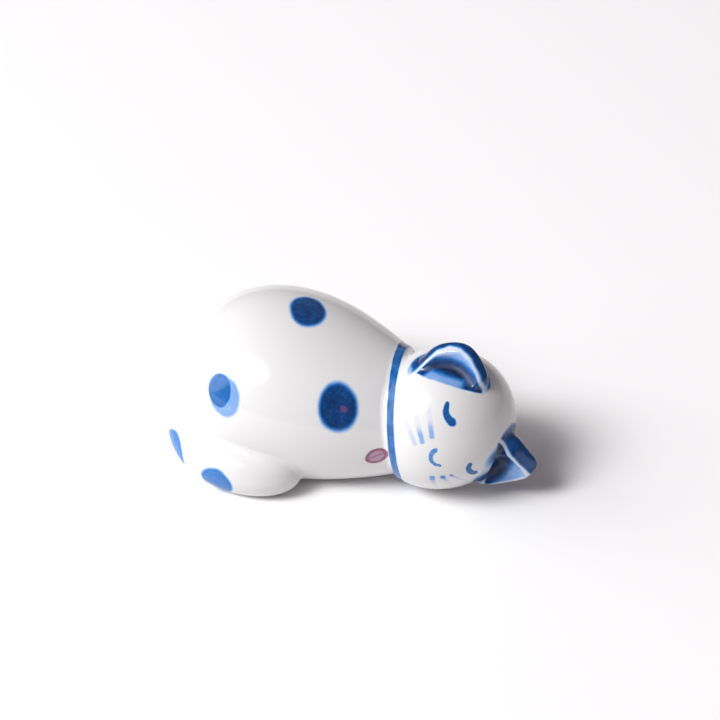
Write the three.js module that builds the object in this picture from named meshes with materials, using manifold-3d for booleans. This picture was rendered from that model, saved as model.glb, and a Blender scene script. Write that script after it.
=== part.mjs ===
// Sleeping cat figurine in glazed porcelain, of the kind that rests a pair of chopsticks on its neck.
// It is hollow cast ware: a body casting and a head casting butted together at the neck, with a collar
// strip over the seam, two pressed ears stuck to the head, and a rolled tail stuck round the flank.
// Millimetres, +Z up, +X from rump to head, -Y the side the cat faces. The origin is on the flat foot.
import * as THREE from "three";
import { mergeVertices } from "three/addons/utils/BufferGeometryUtils.js";
import Module from "manifold-3d";

const wasm = await Module();
wasm.setup();
const degrees = THREE.MathUtils.degToRad;

const joinGap = 0.3; // slip joint left open between two stuck pieces

// Body casting
const bodyWidth = 32.0;
const bodyHeight = 24.7;
const rumpLength = 15.4; // origin to the back of the rump
const backLength = 31; // origin to where the back would close, if it went on past the neck
const footSink = 1.6; // how much of the round belly the flat foot takes off
const bellyFullness = 3.0; // superellipse power of the lower half of a section
const backFullness = 2.0; // and of the upper half
const bodyWall = 2.6;
const ventRadius = 1.5;
const ventBack = 6.0; // vent hole behind the origin

// Neck joint, a plane across the neck
const neckMiddle = new THREE.Vector3(21.6, 2.2, 10.2);
const neckWidth = 19.0;
const neckHeight = 19.6;
const neckTurn = degrees(14); // towards the back of the cat
const neckRise = degrees(8);

// Head casting, on its side: one ear above the other, face to -Y
const headWidth = 22.4; // ear to ear
const headHeight = 24.6; // chin to crown
const headDepth = 21.8; // face to nape
const headMiddle = new THREE.Vector3(28.2, 1.4, 11.1);
const headWall = 2.3;
const faceTurn = degrees(22); // face towards +X
const faceRise = degrees(15); // face towards the sky
const headRoll = degrees(-69); // crown over towards +X

// Collar strip
const collarWidth = 1.6;
const collarProud = 0.5;
const collarDeep = 0.8;
const seatReach = 4; // how far past the neck its seat is open

// Ears, in the head's frame: X from ear to ear, Y from chin to crown, Z out of the face
const earRoot = new THREE.Vector3(7.0, 3.2, 4.1);
const earTip = new THREE.Vector3(11.2, 8.6, 3.6);
const earFacing = new THREE.Vector3(0.34, -0.12, 0.93);
const earWidth = 14.6;
const earBack = 4.8; // root's middle to the back of the ear
const earFront = 1.0; // root's middle to the front of the ear
const earRim = 1.5;
const earFloor = 1.6; // root to the bottom of the hollow
const lowerEarShift = 2.0; // how much nearer the crown the ear by the floor is

// Tail, on an ellipse round the foot that winds in at the root
const tailReachX = 13.8;
const tailReachY = 15.2;
const tailFrom = degrees(135);
const tailTo = degrees(313);
const tailTuck = 0.5; // share of the reach that the root is drawn in by
const tailTuckPower = 6; // how close to the root that happens
const tailRootRadius = 4.3;
const tailTipRadius = 3.9;
const tailTipLength = 8;
const tailSink = 0.5;

// Facets
const bodyFacets = [40, 26];
const cavityFacets = [26, 16];
const headFacets = [32, 22];
const headCavityFacets = [20, 12];
const tailFacets = 18;
const tailSteps = 18;
const capSteps = 5;
const ringFacets = 24;
const earFacets = 26;
const earSteps = 7;
const ventFacets = 24;

const far = 200; // side of the boxes that cut half the space away
const tiny = 1e-9; // radius of a ball's ring of points that is one of its poles
const mergeWithin = 1e-4;
const thinnest = 0.1; // radius that the body's cavity keeps where its walls would meet past the neck
const up = new THREE.Vector3(0, 0, 1);

// A closed geometry as a solid.
function solid(geometry) {
  const bare = geometry.clone();
  bare.deleteAttribute("normal");
  bare.deleteAttribute("uv");
  const merged = mergeVertices(bare, mergeWithin);
  return new wasm.Manifold(
    new wasm.Mesh({
      numProp: 3,
      vertProperties: merged.attributes.position.array,
      triVerts: new Uint32Array(merged.index.array),
    }),
  );
}

function geometryOf(made) {
  const mesh = made.getMesh();
  return new THREE.BufferGeometry()
    .setAttribute("position", new THREE.BufferAttribute(mesh.vertProperties, 3))
    .setIndex(new THREE.BufferAttribute(mesh.triVerts, 1));
}

// Moves every point of a geometry by a function of its place.
function shaped(geometry, move) {
  const place = geometry.attributes.position;
  const p = new THREE.Vector3();
  for (let i = 0; i < place.count; i++) {
    move(p.fromBufferAttribute(place, i));
    place.setXYZ(i, p.x, p.y, p.z);
  }
  return geometry;
}

// Everything on the far side of a plane through a point.
function halfSpace(point, direction) {
  const box = new THREE.BoxGeometry(far, far, far).translate(0, 0, far / 2);
  const turn = new THREE.Quaternion().setFromUnitVectors(up, direction);
  return solid(box.applyQuaternion(turn).translate(point.x, point.y, point.z));
}

const aboveFloor = halfSpace(new THREE.Vector3(0, 0, 0), up);

// Signed coordinate of a superellipse for the cosine or sine of its angle.
function rounded(value, power) {
  return Math.sign(value) * Math.abs(value) ** (2 / power);
}

// Half the section's width or height at the neck sets how fast it tapers from the middle of the body.
const neckRing = Math.sqrt(1 - (neckMiddle.x / backLength) ** 2);
function taper(atNeck, atMiddle) {
  return Math.log(atNeck / atMiddle) / Math.log(neckRing);
}

const bodyHalfWidth = bodyWidth / 2;
const bodyHalfHeight = (bodyHeight + footSink) / 2;
const bodyMiddle = bodyHeight - bodyHalfHeight;
const widthTaper = taper(neckWidth / 2, bodyHalfWidth);
const heightTaper = taper(neckHeight / 2, bodyHalfHeight);

// Neck frame: X along the neck towards the head.
const neck = new THREE.Group();
neck.position.copy(neckMiddle);
neck.rotation.set(0, -neckRise, neckTurn, "ZYX");
neck.updateMatrixWorld();
const neckAxis = new THREE.Vector3(1, 0, 0).applyQuaternion(neck.quaternion);

// The body, from the rump to past the neck, drawn in from its outside by inset. Its sections turn from
// upright at the middle to the plane of the neck joint.
function bodyForm(inset, [around, along]) {
  const ball = new THREE.SphereGeometry(1, around, along).rotateZ(Math.PI / 2);
  return shaped(ball, (p) => {
    const ring = Math.hypot(p.y, p.z);
    const side = ring > tiny ? p.y / ring : 0;
    const rise = ring > tiny ? p.z / ring : 0;
    const forward = p.x > 0;
    p.x *= forward ? backLength : rumpLength - inset;
    const towardsNeck = forward ? Math.min(1, (p.x / neckMiddle.x) ** 2) : 0;
    const atBelly = THREE.MathUtils.lerp(bellyFullness, 2, towardsNeck);
    const fullness = rise < 0 ? atBelly : backFullness;
    const half = (middle, power) =>
      forward ? Math.max(middle * ring ** power - inset, thinnest * ring) : (middle - inset) * ring;
    const sideways = half(bodyHalfWidth, widthTaper) * rounded(side, fullness);
    const upwards = half(bodyHalfHeight, heightTaper) * rounded(rise, fullness);
    p.x -= (towardsNeck * (neckAxis.y * sideways + neckAxis.z * upwards)) / neckAxis.x;
    p.y = neckMiddle.y * towardsNeck + sideways;
    p.z = THREE.MathUtils.lerp(bodyMiddle, neckMiddle.z, towardsNeck) + upwards;
  });
}

function pastNeck(offset) {
  return halfSpace(neckMiddle.clone().addScaledVector(neckAxis, offset), neckAxis);
}

// Head frame: X from ear to ear, Y from chin to crown, Z out of the face.
const faceOut = new THREE.Vector3(
  Math.sin(faceTurn) * Math.cos(faceRise),
  -Math.cos(faceTurn) * Math.cos(faceRise),
  Math.sin(faceRise),
);
const crownOut = up
  .clone()
  .addScaledVector(faceOut, -up.dot(faceOut))
  .normalize()
  .applyAxisAngle(faceOut, headRoll);
const earOut = crownOut.clone().cross(faceOut);
const head = new THREE.Group();
head.position.copy(headMiddle);
head.setRotationFromMatrix(new THREE.Matrix4().makeBasis(earOut, crownOut, faceOut));
head.updateMatrixWorld();

function headForm(inset, [around, along]) {
  return new THREE.SphereGeometry(1, around, along)
    .scale(headWidth / 2 - inset, headHeight / 2 - inset, headDepth / 2 - inset)
    .applyMatrix4(head.matrixWorld);
}

function bodyShell() {
  const innerFloor = halfSpace(new THREE.Vector3(0, 0, bodyWall), up);
  const cavity = solid(bodyForm(bodyWall, cavityFacets)).intersect(innerFloor);
  const vent = new THREE.CylinderGeometry(ventRadius, ventRadius, 4 * bodyWall, ventFacets)
    .rotateX(Math.PI / 2)
    .translate(-ventBack, 0, 0);
  return solid(bodyForm(0, bodyFacets))
    .intersect(aboveFloor)
    .subtract(cavity)
    .subtract(solid(vent))
    .subtract(pastNeck(-joinGap / 2))
    .subtract(collarSeat());
}

function headShell() {
  const cavity = solid(headForm(headWall, headCavityFacets))
    .subtract(earHollow(upperEar, headWall))
    .subtract(earHollow(lowerEar, headWall));
  return solid(headForm(0, headFacets))
    .intersect(aboveFloor)
    .intersect(pastNeck(joinGap / 2))
    .subtract(cavity)
    .subtract(earHollow(upperEar, 0))
    .subtract(earHollow(lowerEar, 0))
    .subtract(collarSeat());
}

// A ring round the neck, from so deep inside its surface to so far outside.
function neckBand(inside, outside, width) {
  const oval = (path, grow) =>
    path.absellipse(0, 0, neckWidth / 2 + grow, neckHeight / 2 + grow, 0, 2 * Math.PI);
  const outline = oval(new THREE.Shape(), outside);
  outline.holes.push(oval(new THREE.Path(), -inside));
  const ring = new THREE.ExtrudeGeometry(outline, {
    depth: width,
    bevelEnabled: false,
    curveSegments: ringFacets,
  })
    .translate(0, 0, -width / 2)
    .rotateX(Math.PI / 2)
    .rotateZ(Math.PI / 2)
    .applyMatrix4(neck.matrixWorld);
  return solid(ring);
}

function collar() {
  return neckBand(collarDeep, collarProud, collarWidth).intersect(aboveFloor);
}

function collarSeat() {
  return neckBand(collarDeep + joinGap, seatReach, collarWidth + 2 * joinGap);
}

// The ears mirror each other but for the shift of the lower one.
const upperEar = { side: -1, shift: 0 };
const lowerEar = { side: 1, shift: lowerEarShift };
const earHeight = earTip.distanceTo(earRoot);
const earProfile = new THREE.SplineCurve([
  new THREE.Vector2(1.0, 0),
  new THREE.Vector2(0.8, 0.4),
  new THREE.Vector2(0.42, 0.84),
  new THREE.Vector2(0.0, 1.0),
]).getPoints(earSteps);
earProfile.at(-1).x = 0;

// A cone standing on the ear's root: wide and deep at the foot, tall along Y.
function earCone(wide, deep, foot, top) {
  return new THREE.LatheGeometry([new THREE.Vector2(0, 0), ...earProfile], earFacets)
    .scale(wide, top - foot, deep)
    .translate(0, foot, 0);
}

// Takes a shape from the ear's own frame (X across, Y to the tip, Z out of the hollow) to the head.
function onHead(made, { side, shift }) {
  const outward = earTip.clone().sub(earRoot).normalize();
  const across = outward.clone().cross(earFacing).normalize();
  const front = across.clone().cross(outward);
  const root = earRoot.clone().add(new THREE.Vector3(0, shift, 0));
  const geometry = geometryOf(made)
    .applyMatrix4(new THREE.Matrix4().makeBasis(across, outward, front).setPosition(root))
    .scale(side, 1, 1)
    .applyMatrix4(head.matrixWorld);
  if (side < 0) geometry.index.array.reverse();
  return solid(geometry);
}

function earHollow(place, grow) {
  const wide = earWidth / 2 - earRim + grow;
  const deep = earBack - earRim + grow;
  return onHead(solid(earCone(wide, deep, earFloor - grow, earHeight - earRim)), place);
}

function ear(place) {
  const front = halfSpace(new THREE.Vector3(0, 0, earFront), up);
  const blank = solid(earCone(earWidth / 2, earBack, 0, earHeight)).subtract(front);
  return onHead(blank, place)
    .subtract(earHollow(place, 0))
    .subtract(solid(headForm(-joinGap, headFacets)))
    .intersect(aboveFloor);
}

// The line that the tail lies along, from its root in the rump.
function tailRoute() {
  const ellipse = new THREE.EllipseCurve(0, 0, tailReachX, tailReachY, tailFrom, tailTo);
  const points = ellipse.getPoints(tailSteps).map((point, i) => {
    const left = 1 - i / tailSteps;
    return point.multiplyScalar(1 - tailTuck * left ** tailTuckPower);
  });
  return new THREE.SplineCurve(points);
}

// A roll with round ends, bent round the foot and flattened where it stands.
function tail() {
  const route = tailRoute();
  const length = route.getLength();
  const outline = new THREE.Path()
    .absarc(0, tailRootRadius, tailRootRadius, -Math.PI / 2, 0)
    .absellipse(0, length - tailTipLength, tailTipRadius, tailTipLength, 0, Math.PI / 2);
  const profile = [];
  for (const [i, curve] of outline.curves.entries()) {
    const steps = curve.isLineCurve ? tailSteps : capSteps;
    profile.push(...curve.getPoints(steps).slice(i ? 1 : 0));
  }
  profile.at(0).x = 0;
  profile.at(-1).x = 0;
  const roll = shaped(new THREE.LatheGeometry(profile, tailFacets), (p) => {
    const share = THREE.MathUtils.clamp(p.y / length, 0, 1);
    const middle = THREE.MathUtils.lerp(tailRootRadius, tailTipRadius, share) - tailSink;
    const at = route.getPointAt(share);
    const heading = route.getTangentAt(share);
    p.set(at.x + heading.y * p.x, at.y - heading.x * p.x, middle + p.z);
  });
  return solid(roll)
    .subtract(solid(bodyForm(-joinGap, bodyFacets)))
    .intersect(aboveFloor);
}

const porcelain = new THREE.MeshStandardMaterial({ color: 0xf1f0ee, roughness: 0.12, metalness: 0 });
const cobalt = new THREE.MeshStandardMaterial({ color: 0x1f4fa0, roughness: 0.12, metalness: 0 });

const figurine = new THREE.Group();
figurine.add(neck, head);

// Pieces are cut where they stand, then stored in the frame of the group they belong to.
function addPiece(group, name, made, material) {
  const geometry = geometryOf(made).applyMatrix4(group.matrixWorld.clone().invert());
  const mesh = new THREE.Mesh(geometry, material);
  mesh.name = name;
  group.add(mesh);
}

addPiece(figurine, "body_shell", bodyShell(), porcelain);
addPiece(figurine, "tail", tail(), porcelain);
addPiece(neck, "collar", collar(), cobalt);
addPiece(head, "head_shell", headShell(), porcelain);
addPiece(head, "ear_upper", ear(upperEar), cobalt);
addPiece(head, "ear_lower", ear(lowerEar), cobalt);

export default figurine;
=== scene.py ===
import math
import bmesh
import bpy
from mathutils import Matrix, Vector
from mathutils.bvhtree import BVHTree
from mathutils.kdtree import KDTree


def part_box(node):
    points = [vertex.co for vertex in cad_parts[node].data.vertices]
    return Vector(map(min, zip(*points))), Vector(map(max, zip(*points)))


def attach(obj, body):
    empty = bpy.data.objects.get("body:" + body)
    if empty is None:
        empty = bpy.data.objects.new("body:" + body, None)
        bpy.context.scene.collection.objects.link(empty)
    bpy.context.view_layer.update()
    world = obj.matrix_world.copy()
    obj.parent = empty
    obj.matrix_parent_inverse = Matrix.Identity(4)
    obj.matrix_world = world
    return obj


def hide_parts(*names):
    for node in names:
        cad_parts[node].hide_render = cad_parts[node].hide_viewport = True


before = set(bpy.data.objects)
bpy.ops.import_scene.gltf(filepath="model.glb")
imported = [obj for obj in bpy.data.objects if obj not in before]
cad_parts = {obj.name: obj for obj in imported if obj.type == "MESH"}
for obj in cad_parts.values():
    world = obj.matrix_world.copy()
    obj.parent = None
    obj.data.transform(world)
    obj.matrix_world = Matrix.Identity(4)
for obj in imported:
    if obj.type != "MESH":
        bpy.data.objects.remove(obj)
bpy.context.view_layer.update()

mm = 0.001
farOff = 4          # an ear's paint ends well within this many millimetres of it

# The wet clay is modelled in millimetres and scaled when it is fired.
clay = {
    "grain": 0.215,     # size of the remeshed faces
    "softening": 15,    # passes that melt the creases
    "footTuck": 0.5,    # how far the clay is tucked in under its lowest millimetre
    "pooling": 55,      # more passes where glaze pools
    "poolsFrom": -0.12,  # how hollow a place is before glaze pools in it
    "ridgeBlur": 6,     # passes that even out the measure of ridges and hollows
    "creaseSharp": 50,  # degrees past which a cut edge stays sharp
}


def framed(x, y, z, origin):
    turn = Matrix((x, y, z)).transposed().to_4x4()
    return Matrix.Translation(origin) @ turn


def smoothStep(low, high, value):
    share = min(1, max(0, (value - low) / (high - low)))
    return share * share * (3 - 2 * share)


def signedPower(value, power):
    return math.copysign(abs(value) ** power, value)


def eggRadius(share, widest):
    # a round end at 0, widest where told, and a point at 1
    lean = 0.5 * (1 - widest) / widest
    top = math.sqrt(widest) * (1 - widest) ** lean
    return math.sqrt(share) * (1 - share) ** lean / top


def ballMesh(segments, rings, move):
    bm = bmesh.new()
    bmesh.ops.create_uvsphere(bm, u_segments=segments, v_segments=rings, radius=1)
    for vertex in bm.verts:
        vertex.co = move(vertex.co)
    bmesh.ops.remove_doubles(bm, verts=bm.verts[:], dist=0.001)
    bmesh.ops.recalc_face_normals(bm, faces=bm.faces[:])
    return bm


def cutAway(bm, point, direction):
    # removes what lies past the plane and closes the cut
    everything = bm.verts[:] + bm.edges[:] + bm.faces[:]
    bmesh.ops.bisect_plane(
        bm, geom=everything, dist=0.0001, plane_co=point, plane_no=direction, clear_outer=True
    )
    rim = [edge for edge in bm.edges if edge.is_boundary]
    if rim:
        filled = bmesh.ops.triangle_fill(bm, edges=rim, use_beauty=True, normal=direction)
        for face in filled["geom"]:
            if isinstance(face, bmesh.types.BMFace):
                face.smooth = False
    return bm


def objectFrom(bm, name):
    mesh = bpy.data.meshes.new(name)
    bm.to_mesh(mesh)
    bm.free()
    made = bpy.data.objects.new(name, mesh)
    bpy.context.scene.collection.objects.link(made)
    return made


def applied(made):
    graph = bpy.context.evaluated_depsgraph_get()
    mesh = bpy.data.meshes.new_from_object(made.evaluated_get(graph))
    old = made.data
    made.modifiers.clear()
    made.data = mesh
    bpy.data.meshes.remove(old)
    return made


def discard(*objects):
    for made in objects:
        mesh = made.data
        bpy.data.objects.remove(made)
        bpy.data.meshes.remove(mesh)


def combine(made, other, operation):
    cut = made.modifiers.new(operation, "BOOLEAN")
    cut.operation = operation
    cut.solver = "MANIFOLD"
    cut.object = other
    return applied(made)


neck = {
    "middle": Vector((21.6, 2.2, 10.2)),
    "halfWidth": 9.5,
    "halfHeight": 9.8,
    "turn": math.radians(14),
    "rise": math.radians(8),
}

neckAxis = Vector((
    math.cos(neck["turn"]) * math.cos(neck["rise"]),
    math.sin(neck["turn"]) * math.cos(neck["rise"]),
    math.sin(neck["rise"]),
))
neckAcross = Vector((-math.sin(neck["turn"]), math.cos(neck["turn"]), 0))
neckUp = neckAxis.cross(neckAcross)


bodyLow, bodyHigh = (Vector(corner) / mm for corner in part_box("body_shell"))

body = {
    "rump": -bodyLow.x,
    "halfWidth": (bodyHigh.y - bodyLow.y) / 2,
    "height": bodyHigh.z + 0.3,
    "sink": 1.6,        # how much of the belly the flat foot takes off
    "widest": 1.5,      # in front of the origin
    "sideEnd": 35.0,    # where the flanks would close past the neck
    "backEnd": 80.0,    # where back and belly would
    "fullness": 3.0,    # squareness of the belly's section
    "segments": 96,
    "rings": 72,
    "ventRadius": 1.5,
    "ventBack": 6.0,
    "ventDepth": 3.4,
}


def bodyPoint(p):
    share = (1 - p.z) / 2
    x = body["rump"] * -1 + share * (body["rump"] + body["sideEnd"])
    ring = math.hypot(p.x, p.y) or 1
    side, rise = p.y / ring, -p.x / ring
    widest = body["widest"] + body["rump"]
    alongBack = (x + body["rump"]) / (body["rump"] + body["backEnd"])
    halfHeight = (body["height"] + body["sink"]) / 2
    wide = body["halfWidth"] * eggRadius(share, widest / (body["rump"] + body["sideEnd"]))
    tall = halfHeight * eggRadius(alongBack, widest / (body["rump"] + body["backEnd"]))
    toNeck = min(1, (x + body["rump"]) / (neck["middle"].x + body["rump"])) ** 3
    belly = smoothStep(0, 0.8, -rise) * (1 - toNeck)
    power = 2 / (2 + (body["fullness"] - 2) * belly)
    if share > 0.999:
        wide = tall = 0
    sideways = wide * signedPower(side, power)
    upwards = tall * signedPower(rise, power)
    middle = body["height"] - halfHeight
    return Vector((
        x - toNeck * (neckAxis.y * sideways + neckAxis.z * upwards) / neckAxis.x,
        neck["middle"].y * toNeck + sideways,
        middle + (neck["middle"].z - middle) * toNeck + upwards,
    ))


collar = {
    "halfBand": 0.8,    # half its width
    "proud": 0.5,       # how far it stands out of the neck
    "deep": 1.2,        # how far it is sunk in
    "neckRadius": 10,   # roughly, to draw it in proportion
    "sides": 24,
    "turns": 120,
}


def wetBody():
    bm = ballMesh(body["segments"], body["rings"], bodyPoint)
    cutAway(bm, neck["middle"] + neckAxis * collar["halfBand"], neckAxis)
    made = objectFrom(bm, "wetBody")
    vent = bmesh.new()
    bmesh.ops.create_cone(
        vent, cap_ends=True, segments=48, radius1=body["ventRadius"], radius2=body["ventRadius"],
        depth=body["ventDepth"] * 2, matrix=Matrix.Translation((-body["ventBack"], 0, 0)),
    )
    hole = objectFrom(vent, "ventPin")
    combine(made, hole, "DIFFERENCE")
    discard(hole)
    return made


def wetCollar():
    bm = bmesh.new()
    bmesh.ops.create_circle(bm, segments=collar["sides"], radius=1)
    middle = (collar["proud"] - collar["deep"]) / 2
    thick = (collar["proud"] + collar["deep"]) / 2
    for vertex in bm.verts:
        outward = (middle + thick * vertex.co.y) / collar["neckRadius"]
        vertex.co = Vector((collar["halfBand"] * vertex.co.x, 1 + outward, 0))
    bmesh.ops.spin(
        bm, geom=bm.verts[:] + bm.edges[:], cent=(0, 0, 0), axis=(1, 0, 0),
        angle=math.tau, steps=collar["turns"], use_merge=True,
    )
    bmesh.ops.remove_doubles(bm, verts=bm.verts[:], dist=0.0001)
    place = framed(neckAxis, neckAcross, neckUp, neck["middle"])
    stretch = Matrix.Diagonal((1, neck["halfWidth"], neck["halfHeight"], 1))
    bmesh.ops.transform(bm, matrix=place @ stretch, verts=bm.verts[:])
    bmesh.ops.recalc_face_normals(bm, faces=bm.faces[:])
    return objectFrom(bm, "wetCollar")


head = {
    "middle": Vector((28.2, 1.4, 11.1)),
    "radii": Vector((11.2, 12.3, 10.9)),  # ear to ear, chin to crown, nape to face
    "crown": 11.7,      # the crown is a little flatter than the chin
    "turn": math.radians(22),
    "rise": math.radians(15),
    "roll": math.radians(-69),
    "segments": 96,
    "rings": 64,
}

faceOut = Vector((
    math.sin(head["turn"]) * math.cos(head["rise"]),
    -math.cos(head["turn"]) * math.cos(head["rise"]),
    math.sin(head["rise"]),
))
uprightCrown = (Vector((0, 0, 1)) - faceOut * faceOut.z).normalized()
crownOut = Matrix.Rotation(head["roll"], 3, faceOut) @ uprightCrown
earOut = crownOut.cross(faceOut)
headPlace = framed(earOut, crownOut, faceOut, head["middle"])


def wetHead():
    def headPoint(p):
        spot = Vector(a * b for a, b in zip(p, head["radii"]))
        if p.y > 0:
            spot.y = p.y * head["crown"]
        return headPlace @ spot

    bm = ballMesh(head["segments"], head["rings"], headPoint)
    cutAway(bm, neck["middle"] - neckAxis * collar["halfBand"], -neckAxis)
    return objectFrom(bm, "wetHead")


# Ears, in the head's frame. The edge of each is a few handles (across, outward) in the
# ear's own frame, round from one corner over the tip to the other and back inside the head.
ear = {
    "root": Vector((7.0, 3.2, 4.1)),
    "tip": Vector((11.2, 8.6, 3.6)),
    "facing": Vector((0.34, -0.12, 0.93)),
    "lowerShift": 2.0,  # the lower ear sits this much nearer the crown
    "grown": 0.5,       # margin of the cut that frees it from the head
    "front": 1.5,       # how far the rim stands in front of its frame
    "taper": 0.6,       # how much thinner the ear is at its tip
    "middle": Vector((0.2, 2.0)),  # of its outline
    "upperEdge": [
        (-7.6, 0.6), (-5.3, 2.9), (-3.3, 4.6), (-1.2, 5.7), (0.9, 6.0),
        (2.6, 5.2), (3.7, 3.6), (4.2, 1.5), (4.8, -1.6), (-0.5, -2.4),
    ],
    "lowerEdge": [
        (-5.9, -0.6), (-3.4, 2.0), (-2.0, 4.0), (-0.7, 6.0), (0.4, 7.6),
        (1.8, 5.7), (3.1, 3.7), (4.7, 1.3), (4.5, -1.4), (-1.5, -2.4),
    ],
    # how the back sits behind the rim: moved aside, and how much wider
    "upperBack": (Vector((0.2, 0.5)), 1.22),
    "lowerBack": (Vector((-2.1, 0.5)), 1.04),
    # rings of the form from its back over the rim to the floor of its hollow: size and depth
    "rings": [
        (0.0, -5.8), (0.75, -5.0), (1.0, -3.5), (1.06, -1.9), (1.06, -0.7), (1.04, 0.05),
        (0.98, 0.25), (0.9, -0.05), (0.72, -0.9), (0.42, -1.6), (0.0, -1.8),
    ],
    "crest": 6,         # which ring is the rim's crest
    "backDepth": 2.2,   # how far behind the rim the back has moved aside
    "rootShift": 0.3,   # share of that move at the root
    "rimShare": 1.04,   # size of the rim against the outline
    "furthest": 20,     # from the middle of the head
    "softness": 3,      # rounds of subdivision
}


def earPlace(side):
    # side is 1 for the ear by the floor and -1 for the upper one, which mirrors it
    outward = (ear["tip"] - ear["root"]).normalized()
    across = outward.cross(ear["facing"]).normalized()
    front = across.cross(outward)
    root = ear["root"].copy()
    if side > 0:
        root.y += ear["lowerShift"]
    mirror = Matrix.Diagonal((side, 1, 1, 1))
    return headPlace @ mirror @ framed(across, outward, front, root)


def earPoint(p, edge, back):
    # p.z counts the rings; the angle of p picks the handle
    ring = round(p.z)
    size, depth = ear["rings"][ring]
    handle = round(math.atan2(p.y, p.x) / math.tau * len(edge)) % len(edge)
    aside, wider = back
    behind = smoothStep(0, ear["backDepth"], -depth) if ring < ear["crest"] else 0
    reach = min(1, max(0, edge[handle][1]) * size / (ear["tip"] - ear["root"]).length)
    spot = ear["middle"].lerp(Vector(edge[handle]), size * (1 + (wider - 1) * behind))
    rootShift = ear["rootShift"]
    spot += aside * behind * (rootShift + (1 - rootShift) * smoothStep(0, 0.25, reach))
    return Vector((spot.x, spot.y, ear["front"] + depth * (1 - ear["taper"] * reach)))


def earShare(spot, side):
    # how far out a point lies from the middle of an ear, with its rim at 1
    handles = ear["upperEdge"] if side < 0 else ear["lowerEdge"]
    edge = [Vector(handle) - ear["middle"] for handle in handles]
    local = earPlace(side).inverted() @ spot
    out = Vector((local.x, local.y)) - ear["middle"]
    for i, start in enumerate(edge):
        end = edge[(i + 1) % len(edge)]
        whole = start.cross(end)
        first, second = out.cross(end) / whole, start.cross(out) / whole
        if first >= 0 and second >= 0:
            return (first + second) * ear["rimShare"]
    return farOff


def wetEar(side, grow=0):
    edge = ear["upperEdge"] if side < 0 else ear["lowerEdge"]
    back = ear["upperBack"] if side < 0 else ear["lowerBack"]
    bm = bmesh.new()
    bmesh.ops.create_circle(bm, segments=len(edge), radius=1)
    ring = bm.edges[:]
    for _ in ear["rings"][1:]:
        grown = bmesh.ops.extrude_edge_only(bm, edges=ring)["geom"]
        points = [part for part in grown if isinstance(part, bmesh.types.BMVert)]
        bmesh.ops.translate(bm, vec=(0, 0, 1), verts=points)
        ring = [part for part in grown if isinstance(part, bmesh.types.BMEdge)]
    for vertex in bm.verts:
        vertex.co = earPoint(vertex.co, edge, back)
    bmesh.ops.remove_doubles(bm, verts=bm.verts[:], dist=0.001)
    bmesh.ops.transform(bm, matrix=earPlace(side), verts=bm.verts[:])
    bmesh.ops.recalc_face_normals(bm, faces=bm.faces[:])
    made = objectFrom(bm, "wetEar")
    soften = made.modifiers.new("Subdivision", "SUBSURF")
    soften.levels = soften.render_levels = ear["softness"]
    applied(made)
    bm = bmesh.new()
    bm.from_mesh(made.data)
    for vertex in bm.verts:
        vertex.co += vertex.normal * grow
    bm.to_mesh(made.data)
    bm.free()
    return made


tail = {
    "reachX": 13.8,
    "reachY": 15.2,
    "from": math.radians(135),
    "to": math.radians(313),
    "tuck": 0.5,
    "tuckPower": 6,
    "rootRadius": 4.3,
    "tipRadius": 4.0,
    "sink": 0.5,
    "bluntness": 8,
    "grown": 0.7,       # margin of the cut that frees it from the body
    "segments": 48,
    "rings": 96,
}


def tailRoute(share):
    angle = tail["from"] + (tail["to"] - tail["from"]) * share
    reach = 1 - tail["tuck"] * (1 - share) ** tail["tuckPower"]
    return Vector((tail["reachX"] * math.cos(angle), tail["reachY"] * math.sin(angle), 0)) * reach


def tailPoint(p, grow):
    share = (1 + p.z) / 2
    step = 0.001
    heading = (tailRoute(share + step) - tailRoute(share - step)).normalized()
    thick = tail["rootRadius"] + (tail["tipRadius"] - tail["rootRadius"]) * share
    ring = math.hypot(p.x, p.y) or 1
    radius = (thick + grow) * math.sqrt(max(0, 1 - abs(p.z) ** tail["bluntness"]))
    outwards = Vector((heading.y, -heading.x, 0))
    centre = tailRoute(share) + Vector((0, 0, thick - tail["sink"]))
    stretch = heading * grow * p.z
    return centre + stretch + (outwards * p.x + Vector((0, 0, p.y))) * radius / ring


def tailForm(grow, name):
    return objectFrom(
        ballMesh(tail["segments"], tail["rings"], lambda p: tailPoint(p, grow)), name
    )


def melted():
    # every form is pressed into one lump, cut flat where it stands, and softened
    wetPieces = [wetBody(), wetHead(), wetEar(1), wetEar(-1), wetCollar(), tailForm(0, "wetTail")]
    graph = bpy.context.evaluated_depsgraph_get()
    surfaces = [BVHTree.FromObject(made, graph) for made in wetPieces[2:4]]  # the ears
    lump = bmesh.new()
    for made in wetPieces:
        bm = bmesh.new()
        bm.from_mesh(made.data)
        cutAway(bm, Vector((0, 0, 0)), Vector((0, 0, -1)))
        pressed = bpy.data.meshes.new("pressed")
        bm.to_mesh(pressed)
        bm.free()
        lump.from_mesh(pressed)
        bpy.data.meshes.remove(pressed)
    discard(*wetPieces)
    bmesh.ops.triangulate(lump, faces=[face for face in lump.faces if len(face.verts) > 4])
    made = objectFrom(lump, "lump")
    remesh = made.modifiers.new("Remesh", "REMESH")
    remesh.mode = "VOXEL"
    remesh.voxel_size = clay["grain"]
    soften = made.modifiers.new("Soften", "SMOOTH")
    soften.factor = 0.5
    soften.iterations = clay["softening"]
    return applied(made), surfaces


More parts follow.
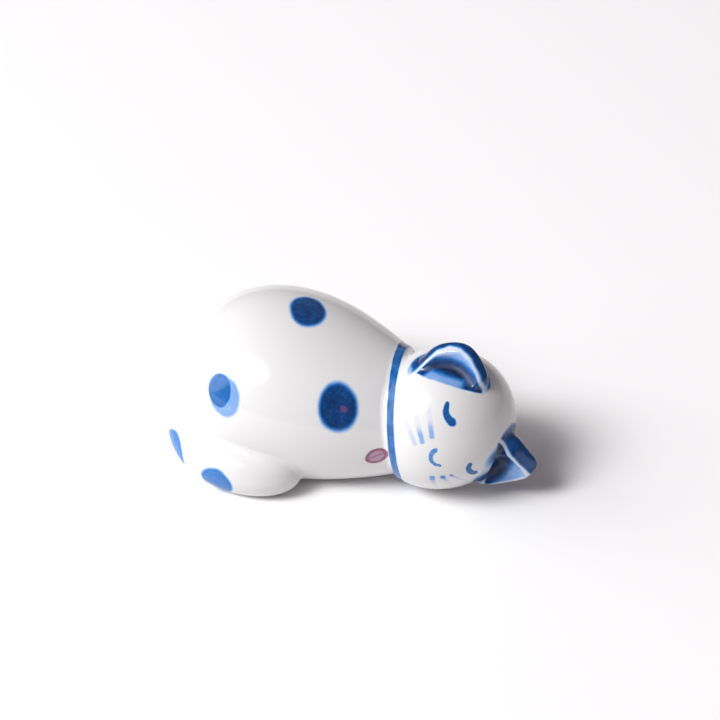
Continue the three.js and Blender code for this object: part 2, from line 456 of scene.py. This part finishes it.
def ridges(mesh):
    # how far each point stands out from its neighbours: high on rims, low in hollows
    bm = bmesh.new()
    bm.from_mesh(mesh)
    around = [
        [edge.other_vert(vertex).index for edge in vertex.link_edges] for vertex in bm.verts
    ]
    spots = [vertex.co.copy() for vertex in bm.verts]
    values = []
    for vertex, near in zip(bm.verts, around):
        middle = sum((spots[i] for i in near), Vector()) / len(near)
        spread = sum((spots[i] - vertex.co).length_squared for i in near) / len(near)
        values.append(4 * (vertex.co - middle).dot(vertex.normal) / spread)
    bm.free()
    for _ in range(clay["ridgeBlur"]):
        values = [
            (values[i] + sum(values[j] for j in near)) / (1 + len(near))
            for i, near in enumerate(around)
        ]
    return spots, values


def pooled(made):
    # glaze runs into the creases and fills them
    _, values = ridges(made.data)
    bm = bmesh.new()
    bm.from_mesh(made.data)
    bm.verts.ensure_lookup_table()
    for vertex in bm.verts:
        aside = Vector((vertex.normal.x, vertex.normal.y, 0))
        vertex.co -= aside * clay["footTuck"] * max(0, 1 - vertex.co.z) ** 2
    hollow = [vertex for vertex, value in zip(bm.verts, values) if value < clay["poolsFrom"]]
    for _ in range(clay["pooling"]):
        bmesh.ops.smooth_vert(
            bm, verts=hollow, factor=0.5, use_axis_x=True, use_axis_y=True, use_axis_z=True
        )
    bm.to_mesh(made.data)
    bm.free()


def makePieces():
    lump, earSurfaces = melted()
    pooled(lump)
    print("melted", len(lump.data.vertices), "points")
    spots, values = ridges(lump.data)
    tree = KDTree(len(spots))
    for i, spot in enumerate(spots):
        tree.insert(spot, i)
    tree.balance()
    print("glaze measured")

    def cutFrom(name, *planes):
        bm = bmesh.new()
        bm.from_mesh(lump.data)
        for face in bm.faces:
            face.smooth = True
        for point, direction in planes:
            cutAway(bm, point, direction)
        return objectFrom(bm, name)

    behind = (neck["middle"] - neckAxis * collar["halfBand"], neckAxis)
    before = (neck["middle"] + neckAxis * collar["halfBand"], neckAxis)

    def flipped(plane):
        return plane[0], -plane[1]

    def freed(name, source, cutter):
        # the part of a piece that lies inside a grown form becomes a piece of its own
        piece = source.copy()
        piece.name = name
        piece.data = source.data.copy()
        bpy.context.scene.collection.objects.link(piece)
        combine(piece, cutter, "INTERSECT")
        combine(source, cutter, "DIFFERENCE")
        discard(cutter)
        return piece

    made = {
        "porcelainBody": cutFrom("porcelainBody", behind),
        "collarStrip": cutFrom("collarStrip", before, flipped(behind)),
        "porcelainHead": cutFrom("porcelainHead", flipped(before)),
    }
    made["upperEar"] = freed("upperEar", made["porcelainHead"], wetEar(-1, ear["grown"]))
    made["lowerEar"] = freed("lowerEar", made["porcelainHead"], wetEar(1, ear["grown"]))
    made["porcelainTail"] = freed(
        "porcelainTail", made["porcelainBody"], tailForm(tail["grown"], "tailCutter")
    )
    discard(lump)
    for name, piece in made.items():
        mesh = piece.data
        ridge = mesh.attributes.new("ridge", "FLOAT", "POINT")
        earGap = mesh.attributes.new("earGap", "FLOAT", "POINT")
        earOuter = mesh.attributes.new("earShare", "FLOAT", "POINT")
        for vertex, outer in zip(mesh.vertices, earOuter.data):
            away = vertex.co - head["middle"]
            side = math.copysign(1, away.dot(earOut))
            outer.value = earShare(vertex.co, side) if away.length < ear["furthest"] else farOff
        for vertex, value, gap in zip(mesh.vertices, ridge.data, earGap.data):
            value.value = values[tree.find(vertex.co)[1]]
            found = [surface.find_nearest(vertex.co, farOff)[3] for surface in earSurfaces]
            gap.value = min([distance for distance in found if distance is not None] or [farOff])
        mesh.set_sharp_from_angle(angle=math.radians(clay["creaseSharp"]))
        mesh.transform(Matrix.Scale(mm, 4))
        print("cut", name, len(mesh.polygons), "faces")
    return made


class Paint:
    # one value or colour on its way through a material's nodes
    tree = None

    def __init__(self, socket):
        self.socket = socket

    @classmethod
    def node(cls, kind, settings=None, inputs=None, output=0):
        made = cls.tree.nodes.new(kind)
        for key, value in (settings or {}).items():
            if key == "stops":
                ramp = made.color_ramp
                while len(ramp.elements) < len(value):
                    ramp.elements.new(1)
                for element, (place, shade) in zip(ramp.elements, value):
                    element.position = place
                    element.color = (*shade, 1)
            else:
                setattr(made, key, value)
        for key, value in (inputs or {}).items():
            if isinstance(value, Paint):
                cls.tree.links.new(value.socket, made.inputs[key])
            else:
                made.inputs[key].default_value = value
        return cls(made.outputs[output])

    def maths(self, operation, *others):
        inputs = dict(enumerate((self, *others)))
        return Paint.node("ShaderNodeMath", {"operation": operation}, inputs)

    def __add__(self, other):
        return self.maths("ADD", other)

    def __radd__(self, other):
        return self.maths("ADD", other)

    def __mul__(self, other):
        return self.maths("MULTIPLY", other)

    def __rmul__(self, other):
        return self.maths("MULTIPLY", other)

    def __sub__(self, other):
        return self.maths("SUBTRACT", other)

    def __rsub__(self, other):
        return (self * -1).maths("ADD", other)

    def __truediv__(self, other):
        return self.maths("DIVIDE", other)

    def __pow__(self, other):
        return self.maths("POWER", other)

    def least(self, other):
        return self.maths("MINIMUM", other)

    def most(self, other):
        return self.maths("MAXIMUM", other)

    def fade(self, low, high):
        # 0 at low and 1 at high, whichever is larger
        return Paint.node(
            "ShaderNodeMapRange", {"interpolation_type": "SMOOTHSTEP"},
            {"Value": self, "From Min": low, "From Max": high},
        )


def along(spot, axis, origin=Vector()):
    # distance in millimetres along an axis, from an origin in millimetres
    across = Paint.node(
        "ShaderNodeVectorMath", {"operation": "DOT_PRODUCT"},
        {0: spot, 1: tuple(axis / mm)}, "Value",
    )
    return across - origin.dot(axis)


def grainAt(spot, size, detail=2.0, seed=0.0):
    # soft random values about zero, with a size in millimetres
    value = Paint.node(
        "ShaderNodeTexNoise", {"noise_dimensions": "4D"},
        {"Vector": spot, "W": seed, "Scale": 1 / (size * mm), "Detail": detail},
    )
    return value - 0.5


def hypot(a, b):
    return (a * a + b * b) ** 0.5


def blob(spot, centre, facing, longWay, longRadius, shortRadius, edge=0.12, wobble=0.1, seed=0.0):
    # a spot dabbed on with a loaded brush: 1 inside, soft at its edge
    facing = facing.normalized()
    longWay = (longWay - facing * longWay.dot(facing)).normalized()
    shortWay = facing.cross(longWay)
    out = hypot(
        along(spot, longWay, centre) / longRadius, along(spot, shortWay, centre) / shortRadius
    )
    out = out + grainAt(spot, longRadius * 0.9, 1.5, seed) * wobble * 2
    near = along(spot, facing, centre).fade(-shortRadius * 1.2, -shortRadius * 0.8)
    return out.fade(1 + edge, 1 - edge) * near, out


def overlay(*layers):
    clear = 1 - layers[0]
    for layer in layers[1:]:
        clear = clear * (1 - layer)
    return 1 - clear


def mixed(share, low, high):
    return Paint.node(
        "ShaderNodeMix", {"data_type": "RGBA", "clamp_factor": True},
        {"Factor": share, "A": low, "B": high}, 2,
    )


def colour(red, green, blue):
    return (red, green, blue, 1)


# Where each spot was dabbed, in millimetres: its middle, the way it faces, its longer
# direction, and half its length and width.
spots = {
    "back": {
        "centre": Vector((4.6, 1.9, 24.4)), "facing": Vector((0.1, 0.07, 1)),
        "longWay": Vector((0.45, -0.9, 0)), "size": (3.9, 2.75),
    },
    "flank": {
        "centre": Vector((-3.2, -13.9, 17.2)), "facing": Vector((-0.18, -0.79, 0.59)),
        "longWay": Vector((0.26, -0.56, -0.8)), "size": (2.6, 2.1),
    },
    "flankHalo": {
        "centre": Vector((-2.3, -14.4, 16.7)), "facing": Vector((-0.1, -0.85, 0.5)),
        "longWay": Vector((0.5, -0.4, -0.75)), "size": (3.3, 2.7),
    },
    "belly": {
        "centre": Vector((15.4, -9.8, 17.1)), "facing": Vector((0.42, -0.7, 0.55)),
        "longWay": Vector((0.25, -0.5, -0.8)), "size": (3.7, 2.95),
    },
    "tailSide": {
        "centre": Vector((-11.2, -14.8, 3.2)), "facing": Vector((-0.65, -0.75, 0)),
        "longWay": Vector((0.7, -0.7, -0.2)), "size": (3.5, 2.7),
    },
    "farHip": {
        "centre": Vector((-4.6, 13.6, 16.8)), "facing": Vector((-0.15, 0.8, 0.58)),
        "longWay": Vector((0.3, 0.5, -0.8)), "size": (3.3, 2.7),
    },
    "farSide": {
        "centre": Vector((9.6, 13.4, 9.6)), "facing": Vector((0.15, 0.97, 0.1)),
        "longWay": Vector((0.7, 0, 0.7)), "size": (3.5, 2.8),
    },
    "tailFront": {
        "centre": Vector((-1.6, -19.0, 2.8)), "facing": Vector((-0.1, -1, 0)),
        "longWay": Vector((1, -0.1, 0)), "size": (2.9, 2.5),
    },
}


def dab(spot, name, depth, edge=0.1, seed=0.0):
    plan = spots[name]
    mask, out = blob(
        spot, plan["centre"], plan["facing"], plan["longWay"], *plan["size"], edge=edge, seed=seed
    )
    fine = grainAt(spot, 0.5, 4, seed) * 0.35
    coarse = grainAt(spot, 2.2, 2, seed + 3) * 0.3
    mottle = 0.9 + fine + coarse
    rim = out.fade(0.75, 1.0) * 0.12
    return mask * (mottle + rim) * depth


def bodyPaint(spot):
    back = dab(spot, "back", 0.9, 0.18, 1)
    flank = overlay(dab(spot, "flank", 0.5, 0.06, 2), dab(spot, "flankHalo", 0.36, 0.12, 5))
    belly = dab(spot, "belly", 0.94, 0.2, 3)
    farHip = dab(spot, "farHip", 0.85, 0.12, 31)
    farSide = dab(spot, "farSide", 0.92, 0.14, 33)
    return overlay(back, flank, belly, farHip, farSide)


def tailPaint(spot):
    return overlay(dab(spot, "tailSide", 0.58, 0.1, 6), dab(spot, "tailFront", 0.6, 0.12, 7))


def collarPaint(spot):
    out = along(spot, neckAxis, neck["middle"]).maths("ABSOLUTE")
    out = out + grainAt(spot, 2.5, 2, 8) * 0.22
    # the band is painted darker toward its upper end, painted shade where the neck turns away
    # from the light
    shadedTop = along(spot, neckUp * 0.6 + neckAcross * 0.8, neck["middle"]).fade(7.6, 9.2)
    streaks = 0.64 + shadedTop * 0.25 + grainAt(spot, 1.6, 3, 9) * 0.55
    return out.fade(0.74, 0.5) * streaks


def headAxes(spot):
    return (
        along(spot, earOut, head["middle"]),
        along(spot, crownOut, head["middle"]),
        along(spot, faceOut, head["middle"]),
    )


def arcStroke(x, y, centre, radius, halfSpan, lean, halfWidth, heavier=0.25):
    # part of a circle that bulges to the chin, heavier at one end
    dx, dy = x - centre[0], y - centre[1]
    angle = dx.maths("ARCTAN2", dy * -1) - lean
    width = halfWidth + angle * heavier * halfWidth / halfSpan
    ring = (hypot(dx, dy) - radius).maths("ABSOLUTE") / width
    past = (angle.maths("ABSOLUTE") - halfSpan).most(0) * radius / width
    return hypot(ring, past).fade(1.25, 0.75)


def lineStroke(x, y, start, end, halfWidth, strong, faint):
    # a brush line, pressed at its start and lifted along its way
    start, end = Vector(start), Vector(end)
    length = (end - start).length
    way = (end - start) / length
    forth = (x - start.x) * way.x + (y - start.y) * way.y
    side = ((x - start.x) * -way.y + (y - start.y) * way.x).maths("ABSOLUTE")
    before = (forth * -1).most(0)
    stroke = hypot(side, before).fade(halfWidth * 1.4, halfWidth * 0.5)
    press = forth.fade(length * 0.42, length * 0.12) * (strong - faint) + faint
    return stroke * press * forth.fade(length, length * 0.6)


def facePaint(spot):
    x, y, z = headAxes(spot)
    x = x + grainAt(spot, 1.2, 2, 11) * 0.25
    y = y + grainAt(spot, 1.2, 2, 12) * 0.25
    upperEye = arcStroke(x, y, (-4.3, 4.4), 1.95, 0.72, -0.05, 0.5)
    lowerEye = arcStroke(x, y, (6.0, 3.75), 1.3, 0.95, 0.0, 0.42, 0.1)
    mouth = arcStroke(x, y, (1.75, -0.72), 1.5, 1.25, -0.1, 0.33, -0.2)
    whiskers = [
        lineStroke(x, y, (-2.0, -0.75), (-8.6, 0.6), 0.4, 0.28, 0.04),
        lineStroke(x, y, (-1.6, -2.5), (-8.6, -1.8), 0.4, 0.3, 0.04),
        lineStroke(x, y, (-1.6, -3.7), (-7.8, -4.2), 0.36, 0.13, 0.04),
        lineStroke(x, y, (5.2, -3.3), (6.0, -3.6), 0.42, 0.42, 0.3),
        lineStroke(x, y, (5.6, -1.7), (6.2, -1.8), 0.42, 0.45, 0.3),
        lineStroke(x, y, (5.7, -0.4), (6.0, -0.3), 0.28, 0.4, 0.3),
        lineStroke(x, y, (5.8, -3.5), (9.0, -3.6), 0.34, 0.16, 0.05),
        lineStroke(x, y, (5.8, -1.7), (9.2, -0.9), 0.3, 0.2, 0.05),
        lineStroke(x, y, (5.8, -0.3), (9.0, 1.6), 0.14, 0.3, 0.1),
    ]
    ink = overlay(upperEye * 0.74, lowerEye * 0.72, mouth * 0.48, *whiskers)
    return ink * z.fade(3, 5) * (0.95 + grainAt(spot, 0.5, 2, 13) * 0.4)


def earAxes(spot, side):
    place = earPlace(side)
    turn = place.to_3x3()
    origin = place.to_translation()
    axes = [Vector((1, 0, 0)), Vector((0, 1, 0)), Vector((0, 0, 1))]
    return [along(spot, (turn @ axis).normalized(), origin) for axis in axes]


# The wash on each ear. Pairs are where it starts and where it is full, in millimetres,
# apart from rim and outer, which are shares of the ear's outline.
earWash = {
    "upper": {
        "brow": 0.33,           # slope of the line where the wash ends on the head
        "rim": (1.04, 0.94),
        "light": 0.2,           # depth of the wash up the hollow's wall
        "poolAndShade": 0.86,           # and in the crease under it, where the cobalt pools and is deepened as painted shade
        "offHead": (2.1, 0.5),  # how far that pooled wash and painted shade reach up the wall
        "offEar": (1.3, 0.3),   # and over the head
        "back": (1.1, 0.4),     # how far the back's wash runs on to the head
    },
    "lower": {
        "brow": -0.1,
        "rim": (1.0, 0.9),
        "light": 0.3,
        "poolAndShade": 0.92,
        "offHead": (2.3, 0.8),
        "offEar": (2.6, 1.2),
        "back": (2.0, 1.1),
        "tipRim": 0.1,          # how much wider the rim is at the tip
        "bareEdge": (1.6, 0.4),  # the edge by the floor is left white
        "halo": 0.84,           # soft wash on the head in front of the hollow
    },
    "outer": (1.06, 1.2),
    "wallEnds": (0.1, 0.7),
    "hollowEnds": (3.4, 2.6),
    "streaks": 0.3,
}


def earPaint(spot, surface, side):
    wash = earWash["upper"] if side < 0 else earWash["lower"]
    across, height, front = earAxes(spot, side)
    mine = along(spot, earOut * side, head["middle"]).fade(0, 1)
    share = surface["earShare"]
    gap = surface["earGap"] + grainAt(spot, 1.5, 2, 14 + side) * 0.4
    wobble = grainAt(spot, 1.8, 2, 17 + side)
    streaks = wobble * earWash["streaks"]
    brow = height + across * wash["brow"] + streaks
    within = share
    outside = (share + wobble * 0.1).fade(*earWash["outer"])
    if side > 0:
        within = share + height.fade(3.5, 6.5) * wash["tipRim"]
        outside = outside * across.fade(*wash["bareEdge"])
    within = within.fade(*wash["rim"])
    outside = outside.most(front.fade(-0.5, -1.1))  # and all of its back

    # the wash gathers in the crease between the ear and the head, and is darkened there further
    # as painted shade
    x, y, z = [axis / radius for axis, radius in zip(headAxes(spot), head["radii"])]
    rise = (hypot(hypot(x, y), z) - 1) * head["radii"][0]
    nearEar = gap.fade(*wash["offEar"])
    if side < 0:
        nearEar = nearEar.most(brow.fade(1.2, 2.4))
    # cobalt pooled in the crease, deepened as painted shade of the hollow
    poolAndShade = rise.fade(*wash["offHead"]) * nearEar
    onHead = gap.fade(*earWash["wallEnds"])
    depth = wash["light"] + onHead * 0.14 + poolAndShade * (wash["poolAndShade"] - wash["light"]) + streaks
    inner = within * brow.fade(0.35, 0.75) * gap.fade(*earWash["hollowEnds"])
    hollowWash = inner * front.fade(-1.5, -0.5) * depth
    if side > 0:
        halo = gap.fade(2.0, 0.3) * within * (1 - front.fade(3.4, 4.6)) * rise.fade(0.7, 0.3)
        hollowWash = hollowWash.most(halo * wash["halo"])

    backWash = gap.fade(*wash["back"]) * outside * (0.84 + wobble * 0.4)
    rimWash = 0.06 + wobble.most(0) * 0.3
    rim = (1 - within) * (1 - outside) * gap.fade(0.6, 0.2) * rimWash
    return mine * overlay(backWash, hollowWash, rim)


def earsPaint(spot, surface):
    return overlay(earPaint(spot, surface, 1), earPaint(spot, surface, -1))


def earDab(spot):
    # a stray touch of the brush behind the upper ear's outer corner
    centre = headPlace @ Vector((-10.9, -0.8, 2.3))
    longWay = headPlace.to_3x3() @ Vector((0.3, -0.5, 1))
    mask, out = blob(spot, centre, -earOut, longWay, 1.8, 0.75, 0.3, 0.15, 22)
    return mask * (0.22 + out.fade(0.6, 1.0) * 0.1)


# the little bell under the chin, and a stray speck of its pink on the belly's spot
bell = {
    "centre": Vector((21.6, -9.0, 8.75)),
    "facing": Vector((0.5, -0.86, 0.05)),
    "longWay": Vector((0.75, 0.45, 0.5)),
    "size": (1.6, 1.25),
    "fill": 0.32,
    "outline": 0.75,
    "fold": 0.5,
    "foldAcross": Vector((0.3, 0.2, -0.9)),
    "speckAt": Vector((16.3, -9.7, 16.9)),
    "speckFacing": Vector((0.42, -0.7, 0.55)),
    "speckSize": (0.55, 0.5),
    "speck": 0.45,
}


def pinkBell(spot):
    centre = bell["centre"]
    facing = bell["facing"]
    fill, out = blob(spot, centre, facing, bell["longWay"], *bell["size"], 0.08, 0.08, 20)
    facingOut = along(spot, facing, centre).fade(-3, -2)
    outline = (out - 0.98).maths("ABSOLUTE").fade(0.32, 0.05) * facingOut
    fold = (along(spot, bell["foldAcross"], centre) + 0.1).maths("ABSOLUTE").fade(0.3, 0.1) * fill
    speck, _ = blob(
        spot, bell["speckAt"], bell["speckFacing"], Vector((1, 0, 0)),
        *bell["speckSize"], 0.5, 0.5, 21
    )
    pink = (fill * bell["fill"]).most(outline * bell["outline"]).most(fold * bell["fold"])
    return pink, speck * bell["speck"]


glaze = {
    # cobalt under the glaze, from none to the thickest
    "washes": [
        (0.0, (0.68, 0.675, 0.67)),
        (0.25, (0.24, 0.39, 0.68)),
        (0.5, (0.035, 0.18, 0.5)),
        (0.7, (0.004, 0.085, 0.29)),
        (0.85, (0.001, 0.035, 0.14)),
        (1.0, (0.0005, 0.01, 0.045)),
    ],
    "pinks": [
        (0.0, (0.68, 0.675, 0.67)),
        (0.4, (0.34, 0.15, 0.24)),
        (1.0, (0.16, 0.02, 0.06)),
    ],
    "speck": (0.25, 0.05, 0.16),
    "bare": (0.68, 0.64, 0.57),  # the foot
    "roughness": 0.12,
    "bareRoughness": 0.62,
    "earRoughness": 0.4,        # added deep in the ears, where the glaze is thin
    "waviness": 0.35,
    "ior": 1.5,
}


def glazed(name, paints, pink=False):
    material = bpy.data.materials.new(name)
    material.use_nodes = True
    Paint.tree = material.node_tree
    shader = material.node_tree.nodes["Principled BSDF"]
    spot = Paint.node("ShaderNodeTexCoord", output="Object")
    surface = {
        key: Paint.node("ShaderNodeAttribute", {"attribute_name": key}, output="Fac")
        for key in ("ridge", "earGap", "earShare")
    }

    density = overlay(*paints(spot, surface)).least(1)
    base = Paint.node("ShaderNodeValToRGB", {"stops": glaze["washes"]}, {"Fac": density})
    if pink:
        pinkDepth, speck = pinkBell(spot)
        pinks = Paint.node("ShaderNodeValToRGB", {"stops": glaze["pinks"]}, {"Fac": pinkDepth})
        base = mixed(pinkDepth.fade(0, 0.1) * (1 - density.fade(0.1, 0.3)), base, pinks)
        base = mixed(speck, base, colour(*glaze["speck"]))

    # the glaze is wiped off the foot, which fires matt and a little creamy
    height = along(spot, Vector((0, 0, 1)))
    bare = (height + grainAt(spot, 1.5, 2, 30) * 0.12).fade(0.28, 0.16)
    base = mixed(bare, base, colour(*glaze["bare"]))
    material.node_tree.links.new(base.socket, shader.inputs["Base Color"])

    roughness = glaze["roughness"] + bare * (glaze["bareRoughness"] - glaze["roughness"])
    roughness = roughness + (grainAt(spot, 6, 2, 31) * 0.04).most(0)
    deepInEars = surface["ridge"].fade(-0.12, -0.4) * surface["earGap"].fade(1.5, 0.5)
    roughness = roughness + deepInEars * glaze["earRoughness"]
    material.node_tree.links.new(roughness.socket, shader.inputs["Roughness"])

    swell = grainAt(spot, 5.5, 1, 32) * glaze["waviness"] + grainAt(spot, 1.3, 1, 33) * 0.04
    sandy = grainAt(spot, 0.25, 3, 34) * bare * 0.1
    bump = Paint.node(
        "ShaderNodeBump", None,
        {"Strength": 0.5, "Distance": 0.1 * mm, "Height": swell + sandy}, "Normal",
    )
    material.node_tree.links.new(bump.socket, shader.inputs["Normal"])
    shader.inputs["IOR"].default_value = glaze["ior"]
    return material


def dress(pieces):
    # each piece's finish, the CAD node it stands for, its slot, and what is painted on it
    plans = {
        "porcelainBody": (
            "bodyGlaze", "body_shell", "body",
            lambda spot, surface: (bodyPaint(spot), collarPaint(spot)),
        ),
        "porcelainHead": (
            "headGlaze", "head_shell", "head",
            lambda spot, surface: (
                facePaint(spot), collarPaint(spot), earsPaint(spot, surface), earDab(spot),
            ),
        ),
        "collarStrip": (
            "collarGlaze", "collar", "collar", lambda spot, surface: (collarPaint(spot),),
        ),
        "upperEar": (
            "upperEarGlaze", "ear_upper", "ear_upper",
            lambda spot, surface: (earPaint(spot, surface, -1),),
        ),
        "lowerEar": (
            "lowerEarGlaze", "ear_lower", "ear_lower",
            lambda spot, surface: (earPaint(spot, surface, 1),),
        ),
        "porcelainTail": (
            "tailGlaze", "tail", "tail", lambda spot, surface: (tailPaint(spot),),
        ),
    }
    for name, (finish, node, slot, paints) in plans.items():
        piece = pieces[name]
        piece.data.materials.clear()
        piece.data.materials.append(glazed(finish, paints, pink=name == "porcelainBody"))
        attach(piece, "root")
        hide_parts(node)
        print("glazed", name)


view = {
    "azimuth": math.radians(25),
    "elevation": math.radians(38),
    "distance": 416.7,
    "aimRight": 13.18,  # of the object's origin
    "aimUp": 11.3,
    "lens": 85,
    "film": 24,
}


def viewAxes(azimuth, elevation):
    away = Vector((
        math.sin(azimuth) * math.cos(elevation),
        -math.cos(azimuth) * math.cos(elevation),
        math.sin(elevation),
    ))
    right = Vector((math.cos(azimuth), math.sin(azimuth), 0))
    return right, away.cross(right), away


def setCamera():
    right, up, away = viewAxes(view["azimuth"], view["elevation"])
    data = bpy.data.cameras.new("Camera")
    data.sensor_width = view["film"]
    data.lens = view["lens"]
    data.clip_start = 0.01
    camera = bpy.data.objects.new("Camera", data)
    bpy.context.scene.collection.objects.link(camera)
    place = right * view["aimRight"] + up * view["aimUp"] + away * view["distance"]
    camera.matrix_world = framed(right, up, away, place * mm)
    bpy.context.scene.camera = camera


studio = {
    "floor": 3.0,       # metres across
    "paper": (0.9, 0.9, 0.9),
    "paperRoughness": 0.6,
    "target": Vector((12, 0, 10)),  # what the lights point at
    # azimuth and elevation in degrees, distance and size in metres, power in watts
    "lights": {
        "window": (-38, 47, 1.8, 0.7, 20.0),
        "windowEdge": (-38, 47, 1.82, 1.15, 16.0),
        "card": (-70, 22, 1.8, 1.9, 20.0),
    },
    "sky": 0.2,
    "skyTint": (1.0, 0.9, 0.97),
}


def setStudio():
    bm = bmesh.new()
    bmesh.ops.create_grid(bm, x_segments=1, y_segments=1, size=studio["floor"] / 2)
    floor = objectFrom(bm, "floor")
    paper = bpy.data.materials.new("paper")
    paper.use_nodes = True
    shader = paper.node_tree.nodes["Principled BSDF"]
    shader.inputs["Base Color"].default_value = colour(*studio["paper"])
    shader.inputs["Roughness"].default_value = studio["paperRoughness"]
    floor.data.materials.append(paper)

    for name, (azimuth, elevation, distance, size, power) in studio["lights"].items():
        _, _, away = viewAxes(math.radians(azimuth), math.radians(elevation))
        data = bpy.data.lights.new(name, "AREA")
        data.shape = "DISK"
        data.size = size
        data.energy = power
        lamp = bpy.data.objects.new(name, data)
        lamp.location = studio["target"] * mm + away * distance
        lamp.rotation_euler = away.to_track_quat("Z", "Y").to_euler()
        bpy.context.scene.collection.objects.link(lamp)

    world = bpy.data.worlds.new("sky")
    world.use_nodes = True
    background = world.node_tree.nodes["Background"]
    background.inputs["Color"].default_value = colour(*studio["skyTint"])
    background.inputs["Strength"].default_value = studio["sky"]
    bpy.context.scene.world = world
    bpy.context.scene.view_settings.view_transform = "Standard"


setCamera()
setStudio()
print("studio set")
pieces = makePieces()
dress(pieces)
